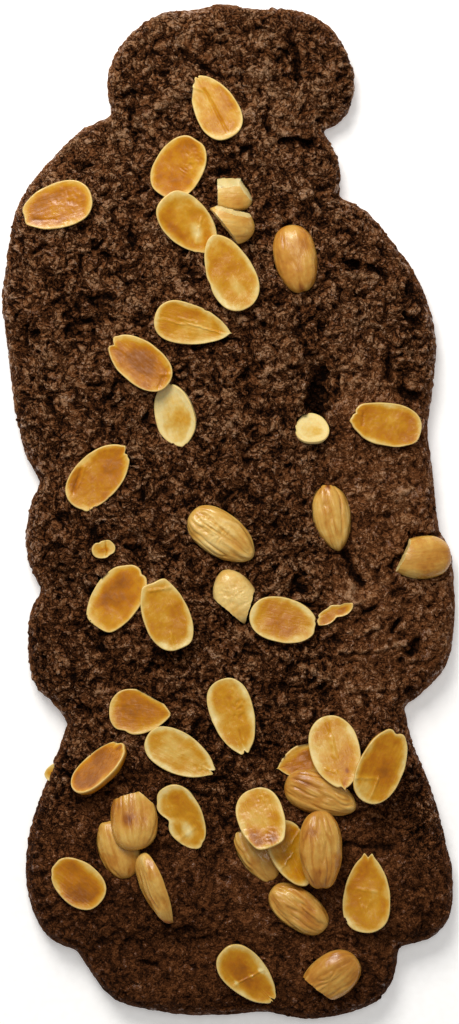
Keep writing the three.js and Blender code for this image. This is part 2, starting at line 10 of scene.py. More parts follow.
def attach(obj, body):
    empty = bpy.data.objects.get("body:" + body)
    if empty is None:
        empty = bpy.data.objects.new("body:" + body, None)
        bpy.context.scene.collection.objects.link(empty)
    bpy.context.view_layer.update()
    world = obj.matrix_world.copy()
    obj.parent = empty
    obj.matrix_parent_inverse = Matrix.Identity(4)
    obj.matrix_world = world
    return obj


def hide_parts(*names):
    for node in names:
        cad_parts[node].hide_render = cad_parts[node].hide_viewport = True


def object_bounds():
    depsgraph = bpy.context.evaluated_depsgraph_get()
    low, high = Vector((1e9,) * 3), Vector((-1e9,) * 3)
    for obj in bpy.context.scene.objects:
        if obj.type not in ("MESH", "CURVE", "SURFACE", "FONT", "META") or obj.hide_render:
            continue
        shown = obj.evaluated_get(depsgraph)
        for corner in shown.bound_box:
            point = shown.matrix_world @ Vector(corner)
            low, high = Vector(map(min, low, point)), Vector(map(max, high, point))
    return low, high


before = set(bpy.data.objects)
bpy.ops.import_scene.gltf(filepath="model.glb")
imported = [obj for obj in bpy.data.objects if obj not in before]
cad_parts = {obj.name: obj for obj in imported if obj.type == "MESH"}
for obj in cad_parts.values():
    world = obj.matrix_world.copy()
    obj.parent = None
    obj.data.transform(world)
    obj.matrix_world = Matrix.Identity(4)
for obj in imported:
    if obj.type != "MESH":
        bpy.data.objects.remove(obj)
cad_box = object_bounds()

# ------------------------------------------------------------------ baked dough
# One thick slab of dark spiced speculoos dough, pressed in a mould and baked flat side down.
# It has spread in the oven: the top is torn into clumps and crevices, the rim has stayed smoother.
MM = 0.001
DOUGH_MESH = 0.63 * MM  # spacing of the points over the dough
SETTLE_STEPS = 9  # rounds of smoothing, which take the flat facets away
DOUGH_CLEAR = 0.36  # mm that the dough keeps from an almond
DOUGH_LIMIT = 194_000  # triangles
HIDDEN_SHARE = 0.16  # share of its triangles that a hidden part keeps

# What the tearing left all over the top, in mm: (size, height or depth).
SWELLS = (11, 0.45)
CLODS = (4.2, 0.5)
LUMPS = (2.3, 0.4)
GRAINS = (1.4, 0.35)
TEARS = (3.2, 0.85)
PITS = (2.4, 1.1)
SLAB_GAPS = (8.5, 1.3)
SPLITS = (6.5, 1.4)
LEDGE_STEP = 6  # mm from one broken layer to the next
LOWEST, HIGHEST = -3.8, 1.8  # mm, of all relief

# Cracks and holes in the top that stand out, in mm: (depth, half width, line).
SLOTS = [
    (2.6, 0.9, [(18.4, 139.4), (19.8, 133.2), (20.2, 127.0)]),  # beside the hat's right end
    (1.6, 0.7, [(4.3, 142), (8.4, 141.8)]),
    (1.5, 0.7, [(-0.6, 143.6), (1.2, 143.2)]),
    (2.2, 0.8, [(-7.4, 130.6), (-3.2, 129)]),  # under the brim
    (2.0, 0.9, [(-32.7, 122.6), (-23.4, 122.6)]),
    (2.2, 0.7, [(11.6, 118.6), (12.2, 111.2)]),  # round the collar flap
    (2.8, 0.9, [(14.7, 108.6), (24.6, 108.4)]),
    (2.0, 0.9, [(4.3, 106.5), (6.4, 106.5)]),
    (1.8, 0.8, [(-57.3, 75.9), (-54.6, 78.4)]),
    (1.8, 0.8, [(-28.4, 83.4), (-28.4, 79.4)]),
    (1.6, 0.7, [(-36.6, 75.3), (-35.2, 74.2)]),
    (2.0, 0.8, [(-40.2, 62.1), (-36.4, 63)]),
    (2.0, 0.7, [(-48.9, 57), (-44.6, 55.8), (-41, 55.9)]),
    (2.2, 0.7, [(-59, 54.8), (-59, 49.5)]),
    (1.8, 0.6, [(-39.6, 53), (-39.6, 49.8)]),
    (1.8, 0.6, [(-43.1, 73), (-43.1, 70.4)]),
    (2.2, 0.7, [(-51.8, 32.8), (-51.8, 28)]),
    (1.6, 0.7, [(-38.6, 37), (-36.6, 37.2)]),
    (2.4, 0.9, [(34.3, 74.3), (37.6, 72.2)]),  # on the right arm
    (2.6, 0.9, [(40.9, 71.8), (46.2, 69.8)]),
    (2.0, 0.7, [(43.4, 77.6), (46.2, 75.6)]),
    (1.8, 0.6, [(52.9, 67.4), (52.9, 64.4)]),
    (2.4, 0.9, [(51.6, 58.8), (54.9, 55.9)]),
    (3.2, 1.0, [(46.2, 44.7), (47.4, 39.4)]),
    (2.6, 1.2, [(50.3, 36.1), (55.7, 34)]),
    (1.8, 0.7, [(27.4, 56.1), (27.4, 52)]),
    (2.8, 1.8, [(27.4, 41), (26.6, 36), (25.6, 29.6)]),  # the hollow under the arm
    (1.6, 0.6, [(31.8, 39.2), (31, 34.4)]),
    (1.6, 0.6, [(17.6, 43), (22, 43)]),
    (1.8, 0.9, [(19.4, -20), (22.8, -22.8)]),
    (2.4, 0.9, [(33.5, -12.2), (35.6, -17.5), (38, -21.2)]),  # curl in the sleeve
    (2.2, 0.8, [(49.5, -13.4), (47.4, -17)]),
    (1.8, 0.7, [(53.2, -7.2), (62, -6.4)]),
    (2.2, 0.7, [(39.6, -29.4), (43.4, -27.8)]),
    (2.4, 0.7, [(47.8, -34.6), (49.8, -32.4)]),
    (2.6, 0.8, [(53.6, -41.6), (55.3, -38)]),
    (1.8, 0.7, [(50.4, -44), (51.3, -43.4)]),
    (2.2, 0.8, [(53.2, -52), (54, -55)]),
    (2.2, 0.9, [(27.6, -51.6), (28.2, -51.8)]),
    (1.6, 0.7, [(17.8, -46), (18.2, -46)]),
    (2.2, 0.8, [(-29, -10.6), (-27, -10.6)]),
    (1.8, 0.8, [(-23.4, 15), (-22.6, 14.6)]),
    (2.0, 0.8, [(-17.6, 4.9), (-16.8, 4.6)]),
    (2.2, 0.8, [(-4.6, -78.6), (-2.2, -79)]),
    (2.6, 0.8, [(-1.2, -57.6), (2.6, -58)]),
    (0.9, 0.7, [(-15.6, -122.6), (-11.4, -122.9)]),
    (0.9, 0.7, [(-26, -132.6), (-20.8, -132.9)]),
    (1.2, 0.8, [(34, -97.8), (42, -98.6), (50, -97.6)]),
]
# Folds and ribs on it, in mm: (rise, half width, line).
RIDGES = [
    (1.3, 1.0, [(-4, 129.2), (4.3, 129.2), (9.5, 128.4), (13.8, 130)]),  # brim
    (1.3, 1.1, [(-11.4, 125.4), (-18.7, 119.2), (-27.1, 115)]),  # from the hat to the shoulder
    (1.0, 0.8, [(-55, 38.2), (-51, 36), (-46.8, 32.5), (-42.7, 31.7)]),
    (1.1, 0.8, [(33.5, 70.6), (38.4, 69.3), (44.6, 68.5)]),  # ribs of the sleeve
    (0.9, 0.9, [(30.1, 64.4), (33.8, 64)]),
    (0.9, 0.9, [(40.8, 64), (44.9, 64)]),
    (1.1, 0.8, [(35.1, 55.9), (44.9, 54.1)]),
    (0.9, 0.9, [(44.9, 47.6), (53.1, 46.8)]),
    (1.1, 0.8, [(40.5, 4), (46.2, 4), (50.3, 5.1), (53.6, 6.8)]),
    (1.5, 1.1, [(36.4, -22), (34.6, -24.9), (37.2, -26.9), (40.5, -25.3)]),
    (0.9, 0.7, [(34.7, -35.2), (39.6, -35.2), (43.7, -33.5)]),
    (0.9, 0.7, [(33.1, -40.5), (38, -41.1), (45.8, -40.1), (51.9, -38.4)]),
    (0.9, 0.7, [(20.3, -44.6), (25.3, -47), (31.4, -50)]),
    (0.9, 0.7, [(33.9, -51.6), (39.6, -52), (49.1, -52)]),
    (1.0, 0.9, [(14.5, 86.2), (21, 85)]),
]


def from_hex(colour):
    """The linear colour of an sRGB hex value."""
    parts = [int(colour[i : i + 2], 16) / 255 for i in (1, 3, 5)]
    return [c / 12.92 if c <= 0.04045 else ((c + 0.055) / 1.055) ** 2.4 for c in parts] + [1.0]


def add_node(tree, kind, inputs=None, stops=(), **settings):
    """Adds a node with its settings, its inputs, by name or number, and a ramp's colour stops."""
    made = tree.nodes.new(kind)
    for name, value in settings.items():
        setattr(made, name, value)
    for name, value in (inputs or {}).items():
        if isinstance(value, bpy.types.NodeSocket):
            tree.links.new(value, made.inputs[name])
        else:
            made.inputs[name].default_value = value
    if stops:
        elements = made.color_ramp.elements
        while len(elements) < len(stops):
            elements.new(0.5)
        for element, (place, colour) in zip(elements, stops):
            element.position = place
            element.color = from_hex(colour) if isinstance(colour, str) else (colour,) * 3 + (1,)
    return made


def new_material(name):
    """An empty node material, and its tree."""
    material = bpy.data.materials.new(name)
    material.use_nodes = True
    material.node_tree.nodes.clear()
    return material, material.node_tree


def select_only(piece):
    """Leaves this piece alone selected and active."""
    bpy.ops.object.select_all(action="DESELECT")
    piece.select_set(True)
    bpy.context.view_layer.objects.active = piece


def apply_modifier(piece, kind, **settings):
    """Adds a modifier with its settings and applies it."""
    select_only(piece)
    modifier = piece.modifiers.new(kind.lower(), kind)
    for name, value in settings.items():
        setattr(modifier, name, value)
    bpy.ops.object.modifier_apply(modifier=modifier.name)


def read_points(mesh):
    """A mesh's points, in mm."""
    points = np.empty(len(mesh.vertices) * 3)
    mesh.vertices.foreach_get("co", points)
    return points.reshape(-1, 3) / MM


def write_points(mesh, points):
    mesh.vertices.foreach_set("co", (points * MM).ravel())
    mesh.update()


def read_normals(mesh):
    normals = np.empty(len(mesh.vertices) * 3)
    mesh.vertex_normals.foreach_get("vector", normals)
    return normals.reshape(-1, 3)


def keep_value(mesh, name, values):
    """Keeps one number for each point, for the material to read."""
    attribute = mesh.attributes.new(name, "FLOAT", "POINT")
    attribute.data.foreach_set("value", np.asarray(values, np.float32))


def line_distance(points, line):
    """How far each point is from a line of short stretches, seen from above."""
    nearest = np.full(len(points), np.inf)
    for start, end in zip(line, line[1:]):
        a = np.array(start)
        along = np.array(end) - a
        share = np.clip(((points[:, :2] - a) @ along) / (along @ along), 0, 1)
        nearest = np.minimum(nearest, np.linalg.norm(points[:, :2] - a - share[:, None] * along, axis=1))
    return nearest


def noise_at(points, size, shift=0.0):
    """Smooth noise, about -1 to 1, whose bumps are `size` mm across."""
    offset = Vector((shift, shift * 0.7, shift * 1.3))
    return np.array([noise.noise(Vector(p) / size + offset) for p in points])


def cells_at(points, size, shift=0.0):
    """Distance to the nearest cell's middle, and to the wall beside it, in cells of `size` mm."""
    offset = Vector((shift, shift * 0.7, shift * 1.3))
    found = [noise.voronoi(Vector(p) / size + offset)[0] for p in points]
    near = np.array([f[0] for f in found])
    wall = np.array([f[1] - f[0] for f in found])
    return near, wall


def soft_step(low, high, values):
    share = np.clip((values - low) / (high - low), 0, 1)
    return share * share * (3 - 2 * share)


def joined_tree(pieces):
    """One search tree over several meshes."""
    corners = []
    faces = []
    for piece in pieces:
        first = len(corners)
        corners.extend(v.co.copy() for v in piece.data.vertices)
        faces.extend([first + i for i in p.vertices] for p in piece.data.polygons)
    return BVHTree.FromPolygons(corners, faces)


almond_nodes = {name: node for name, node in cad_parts.items() if name.startswith("almond_")}
almond_tree = joined_tree(almond_nodes.values())

dough = bpy.data.objects.new("baked_dough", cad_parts["dough"].data.copy())
bpy.context.collection.objects.link(dough)
dough.data.materials.clear()
select_only(dough)
bpy.ops.object.mode_set(mode="EDIT")
bpy.ops.mesh.select_all(action="SELECT")
bpy.ops.mesh.remove_doubles(threshold=0.001 * MM)
bpy.ops.object.mode_set(mode="OBJECT")
apply_modifier(dough, "REMESH", mode="VOXEL", voxel_size=DOUGH_MESH)
apply_modifier(dough, "SMOOTH", factor=0.6, iterations=SETTLE_STEPS)

points = read_points(dough.data)
normals = read_normals(dough.data)
upward = soft_step(-0.1, 0.75, normals[:, 2])  # 1 on the top, 0 on the lower side
baked_side = soft_step(0.2, 1.6, points[:, 2])  # 0 on the flat underside
# The dough is torn over most of the top, less so towards the foot, and the rim is the smoothest.
crumbly = soft_step(-0.95, -0.35, points[:, 1] / 130 + 0.35 * noise_at(points, 40, 3))
crumbly *= 0.68 + 0.32 * soft_step(-0.3, 0.25, noise_at(points, 13, 67))
# The sleeve on the right is calmer.
sleeve = soft_step(22, 36, points[:, 0]) * soft_step(-80, -50, points[:, 1])
crumbly *= 1 - 0.7 * sleeve * soft_step(50, 30, points[:, 1])
crumbly = (0.4 + 0.6 * crumbly) * (0.2 + 0.8 * upward)
warp = np.stack([noise_at(points, 5, s) for s in (11, 23, 37)], axis=1) * 2
torn = points + warp
shred = points + 2.2 * warp  # drawn out in streaks
swell = noise_at(points, SWELLS[0], 17)
clods = noise_at(torn, CLODS[0], 5)
near, wall = cells_at(points + 0.5 * warp, LUMPS[0], 7)
lumps = 0.55 - near - 0.35 * np.exp(-((wall / 0.12) ** 2))  # round, with gaps between
grains = noise_at(points, GRAINS[0], 29)
patchy = noise_at(points, 15, 41)
_, slab_wall = cells_at(torn * np.array([0.72, 1.1, 1]), SLAB_GAPS[0], 9)  # slabs are wider than long
split = np.abs(noise_at(shred, SPLITS[0], 47))
tear = np.abs(noise_at(shred * np.array([0.65, 1.3, 1]), TEARS[0], 57))
pits = noise_at(torn, PITS[0], 53)
# Layers that broke away towards the foot: each rises slowly and ends in a step.
ledge = 2.2 * noise_at(shred, 10, 71) + points[:, 1] / LEDGE_STEP
ledge = 0.5 - (ledge - np.floor(ledge))
in_layers = soft_step(-0.25, 0.3, noise_at(points, 12, 73))

fine = crumbly * (CLODS[1] * clods + LUMPS[1] * lumps + GRAINS[1] * grains)
fine -= PITS[1] * crumbly * soft_step(0.32, 0.55, pits)
fine -= crumbly * soft_step(-0.2, 0.3, patchy) * SLAB_GAPS[1] * np.exp(-((slab_wall / 0.07) ** 2))
fine -= crumbly * SPLITS[1] * np.exp(-((split / 0.05) ** 2))
fine += crumbly * TEARS[1] * (np.minimum(tear / 0.35, 1) - 0.65)
fine += crumbly * (0.25 + 0.75 * in_layers) * ledge
for depth, half_width, line in SLOTS:
    wander = half_width * (1 + 0.6 * grains)
    near = line_distance(torn * 0.7 + points * 0.3, line) / wander
    fine -= 1.2 * depth * np.exp(-(near**2)) * upward
for rise, half_width, line in RIDGES:
    near = line_distance(torn * 0.3 + points * 0.7, line) / (half_width * (1 + 0.4 * grains))
    fine += 1.1 * rise * (0.8 + 0.5 * grains) * np.exp(-(near**2)) * upward
relief = np.clip(SWELLS[1] * swell + fine, LOWEST, HIGHEST) * baked_side
moved = points + normals * relief[:, None]
moved[:, 2] = np.maximum(moved[:, 2], points[:, 2].min())

# The dough closes round every almond without touching it.
for i, place in enumerate(moved):
    near, out, _, gap = almond_tree.find_nearest(Vector(place) * MM, 3 * MM)
    if near is None:
        continue
    reach = (Vector(place) * MM - near).dot(out)
    if (reach < 0 or gap < DOUGH_CLEAR * MM) and points[i, 2] > 0.5:
        moved[i] = (near + out * DOUGH_CLEAR * MM) / MM
write_points(dough.data, moved)
# Higher spots are paler, partly baked paler and partly painted light, and low spots, slots and pits are
# darker, as painted shade in the hollows; the top is also painted lighter towards the hat and darkest at
# the foot, as painted light from the hat's side.
paleness_and_painted_light = 0.44 + fine / 3 + 0.17 * soft_step(-125, -40, points[:, 1]) + 0.09 * points[:, 1] / 150
keep_value(dough.data, "paleness_and_painted_light", np.clip(paleness_and_painted_light, 0, 1))
keep_value(dough.data, "crumbly", crumbly)

# The underside and the sockets, which nothing shows, need fewer faces.
hidden = points[:, 2] < 0.4
for i, place in enumerate(moved):
    if not hidden[i] and normals[i, 2] > -0.2:
        above = almond_tree.ray_cast(Vector(place) * MM, Vector((0, 0, 1)), 12 * MM)
        hidden[i] = above[0] is not None
group = dough.vertex_groups.new(name="hidden")
group.add([int(i) for i in np.flatnonzero(hidden)], 1.0, "ADD")
faces = len(dough.data.polygons)
kept = sum(1 for p in dough.data.polygons if not all(hidden[v] for v in p.vertices))
apply_modifier(dough, "TRIANGULATE")
target = min(DOUGH_LIMIT, 2 * kept + HIDDEN_SHARE * 2 * (faces - kept))
apply_modifier(
    dough, "DECIMATE", decimate_type="COLLAPSE", ratio=target / len(dough.data.polygons),
    vertex_group="hidden",
)
dough.vertex_groups.clear()
select_only(dough)
bpy.ops.object.shade_smooth()


STREAK_SIZE = 2.6  # mm
CLUMP_SIZES = (1.9, 0.85)  # mm
CRUMB_GRAIN = 0.42  # mm, the finest
BUMP_DEPTH = 1.8  # mm


def dough_material():
    """Dark spiced biscuit dough, baked dry: dull grains, painted near black in the gaps between them and
    redder where it is deep, as painted shade, with fat and sugar that have melted and set in small glossy
    spots."""
    material, tree = new_material("baked_spiced_dough")
    place = add_node(tree, "ShaderNodeTexCoord").outputs["Object"]
    paleness_and_painted_light = add_node(tree, "ShaderNodeAttribute", attribute_name="paleness_and_painted_light").outputs["Fac"]
    crumbly = add_node(tree, "ShaderNodeAttribute", attribute_name="crumbly").outputs["Fac"]

    def pattern(size, detail, roughness=0.5):
        """Noise whose spots are `size` mm across."""
        settings = {"Vector": place, "Scale": 1 / (size * MM), "Detail": detail, "Roughness": roughness}
        return add_node(tree, "ShaderNodeTexNoise", settings)

    def blend(value, share, base):
        """base + share * value"""
        return add_node(
            tree, "ShaderNodeMath", {0: value, 1: share, 2: base}, operation="MULTIPLY_ADD"
        ).outputs[0]

    # Streaks with sharp creases between them, where the dough has torn, and clumps with round tops, as
    # squared distances to their middles.
    drawn_out = add_node(
        tree, "ShaderNodeVectorMath", {0: pattern(5, 2.0).outputs["Color"], 1: (7 * MM,) * 3, 2: place},
        operation="MULTIPLY_ADD",
    ).outputs[0]
    streak = add_node(
        tree, "ShaderNodeTexNoise",
        {"Vector": drawn_out, "Scale": 1 / (STREAK_SIZE * MM), "Detail": 4.0, "Roughness": 0.6},
    ).outputs["Fac"]
    crease = add_node(
        tree, "ShaderNodeMath", {0: blend(streak, 1.0, -0.5)}, operation="ABSOLUTE"
    ).outputs[0]
    crease = add_node(
        tree, "ShaderNodeMapRange",
        {"Value": crease, "From Min": 0.0, "From Max": 0.06, "To Min": 0.0, "To Max": 1.0},
        interpolation_type="SMOOTHSTEP",
    ).outputs[0]
    drift = add_node(
        tree, "ShaderNodeVectorMath", {0: pattern(2.2, 2.0).outputs["Color"], 1: (1.6 * MM,) * 3, 2: place},
        operation="MULTIPLY_ADD",
    ).outputs[0]
    clumps = []
    for size in CLUMP_SIZES:
        cells = add_node(tree, "ShaderNodeTexVoronoi", {"Vector": drift, "Scale": 1 / (size * MM)})
        distance = cells.outputs["Distance"]
        clumps.append(
            add_node(tree, "ShaderNodeMath", {0: distance, 1: distance}, operation="MULTIPLY").outputs[0]
        )
    grain = pattern(CRUMB_GRAIN, 3.0, 0.65).outputs["Fac"]
    strength = add_node(
        tree, "ShaderNodeMapRange",
        {"Value": crumbly, "From Min": 0.2, "From Max": 0.9, "To Min": 0.35, "To Max": 1.0},
    ).outputs[0]
    height = blend(clumps[1], -0.38, blend(clumps[0], -0.42, blend(grain, 0.34, 0.0)))
    height = blend(streak, 0.8, blend(crease, 0.5, height))
    # How light a spot is: painted shade in its creases and round the edges of its clumps, the grain on it,
    # partly its own tone and partly painted shade where it sinks, the slow change over the cookie, and the
    # paleness with its painted light and shade.
    painted_crevice_shade = blend(clumps[1], -0.4, blend(clumps[0], -0.2, -0.3))
    painted_crevice_shade = blend(streak, 0.25, blend(crease, 0.42, painted_crevice_shade))
    painted_crevice_shade = add_node(
        tree, "ShaderNodeMath", {0: painted_crevice_shade, 1: strength}, operation="MULTIPLY"
    ).outputs[0]
    lightness = blend(grain, 1.15, blend(paleness_and_painted_light, 0.9, -0.72))
    lightness = blend(pattern(6, 4.0).outputs["Fac"], 0.35, lightness)
    lightness = blend(pattern(45, 2.0).outputs["Fac"], 0.2, lightness)
    lightness = blend(painted_crevice_shade, 1.0, lightness)
    # Near black and deep red at the low end, for the painted shade in the gaps.
    crust = add_node(
        tree, "ShaderNodeValToRGB", {"Fac": lightness},
        stops=[(0.05, "#120601"), (0.3, "#361c0b"), (0.5, "#573117"), (0.7, "#764929"), (0.95, "#a27854")],
    ).outputs["Color"]
    # Fat and sugar have come out on what stands high.
    glaze = add_node(
        tree, "ShaderNodeMapRange",
        {"Value": blend(paleness_and_painted_light, 0.5, height), "From Min": 1.15, "From Max": 1.26, "To Min": 0.0,
         "To Max": 0.9},
    ).outputs[0]
    bump = add_node(
        tree, "ShaderNodeBump", {"Height": height, "Strength": strength, "Distance": BUMP_DEPTH * MM},
    ).outputs[0]
    shader = add_node(
        tree, "ShaderNodeBsdfPrincipled",
        {"Base Color": crust, "Roughness": 0.85, "Normal": bump, "Specular IOR Level": 0.05,
         "Coat Weight": glaze, "Coat Roughness": 0.2, "Coat IOR": 1.5, "Coat Normal": bump},
    )
    add_node(tree, "ShaderNodeOutputMaterial", {"Surface": shader.outputs[0]})
    return material


spiced_dough = dough_material()
dough.data.materials.append(spiced_dough)
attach(dough, "root")
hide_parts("dough")

# ------------------------------------------------------------------ stuck crumbs
# Flakes of the same dough that tore off the top as it spread and baked fast again.
# One flake is shaped as a small stone and repeated, each time turned, sized and half sunk.
CRUMB_COUNT = 2000
CRUMB_SIZE = (0.6, 2.1)  # mm
CRUMB_SUNK = 0.34  # share of its size that a crumb is sunk
CRUMB_HALF = 0.3  # share of its size from its middle to its top, about

draw = np.random.default_rng(4)
bpy.ops.object.select_all(action="DESELECT")
bpy.ops.mesh.primitive_ico_sphere_add(subdivisions=2, radius=1, location=(0, 0, 0))
crumbs = bpy.context.active_object
crumbs.name = crumbs.data.name = "stuck_crumbs"
bpy.ops.object.mode_set(mode="EDIT")
bpy.ops.transform.vertex_random(offset=0.34, seed=4)
bpy.ops.object.mode_set(mode="OBJECT")
flake = read_points(crumbs.data) * MM  # of radius 1
flake_faces = np.array([p.vertices[:] for p in crumbs.data.polygons])

top_faces = [
    p for p in dough.data.polygons
    if p.normal.z > 0.25 and p.center.z > 5 * MM and p.area < (1.2 * MM) ** 2
]
centres = np.array([p.center for p in top_faces]) / MM
# Each crumb takes the paleness where it lies, with its painted light and shade.
torn_here = np.array([dough.data.attributes["crumbly"].data[p.vertices[0]].value for p in top_faces])
pale_and_painted_light_here = np.array([dough.data.attributes["paleness_and_painted_light"].data[p.vertices[0]].value for p in top_faces])
in_drifts = soft_step(-0.3, 0.4, noise_at(centres, 7, 61))
weight = np.array([p.area for p in top_faces]) * torn_here * (0.15 + in_drifts)
all_points = []
all_faces = []
pale = []
for spot in draw.choice(len(top_faces), CRUMB_COUNT, p=weight / weight.sum()):
    size = CRUMB_SIZE[0] + (CRUMB_SIZE[1] - CRUMB_SIZE[0]) * draw.random() ** 2.2
    turn = np.array(Matrix.Rotation(draw.uniform(0, 2 * math.pi), 3, draw.normal(size=3)))
    stretch = np.array([1, draw.uniform(0.55, 0.9), draw.uniform(0.4, 0.7)]) * size / 2
    centre = centres[spot] + np.array(top_faces[spot].normal) * size * (CRUMB_HALF - CRUMB_SUNK)
    near, _, _, gap = almond_tree.find_nearest(Vector(centre) * MM, 5 * MM)
    if near is not None and gap < (size / 2 + 0.2) * MM:
        continue
    all_faces.append(flake_faces + len(flake) * len(all_points))
    all_points.append((flake @ turn) * stretch + centre)
    # The crumb's paleness carries the dough's painted light and shade.
    pale.append(pale_and_painted_light_here[spot] + draw.uniform(-0.12, 0.1))
crumbs.data.clear_geometry()
crumbs.data.from_pydata(np.concatenate(all_points) * MM, [], np.concatenate(all_faces).tolist())
keep_value(crumbs.data, "paleness_and_painted_light", np.repeat(pale, len(flake)))
keep_value(crumbs.data, "crumbly", np.full(len(crumbs.data.vertices), 0.8))
crumbs.data.materials.append(spiced_dough)
select_only(crumbs)
bpy.ops.object.shade_smooth()
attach(crumbs, "root")
print("stuck_crumbs triangles", len(crumbs.data.polygons))

# The crumbs lie on the full mesh. The dough now gives up the faces it needs least, down to its limit.
if len(dough.data.polygons) > DOUGH_LIMIT:
    share_left = DOUGH_LIMIT / len(dough.data.polygons)
    apply_modifier(dough, "DECIMATE", decimate_type="COLLAPSE", ratio=share_left)
print("baked_dough triangles", len(dough.data.polygons))

# ------------------------------------------------------------------ split blanched almonds
# Almonds without their brown skin, split in two halves and pressed into the raw dough by hand.
# The oven has toasted them: gold to caramel cut faces and grooved round backs; their pale rims are a
# painted highlight along the edge.
ROUND_STEPS = 128  # points round a nut
RING_STEPS = 56  # rings from the middle of its back to the middle of its cut face
BACK_RINGS = 28
RIM_RINGS = 5
RIM_RADIUS = 0.38  # mm, of the cut face's edge
BLUNT = 2.3  # roundness of the blunt end: 2 is an ellipse
DISH = 0.4  # mm that the cut face is hollow
FULLNESS = 2.5  # of the back: 2 is an ellipse
HALF_THICKNESS = 4.6  # mm

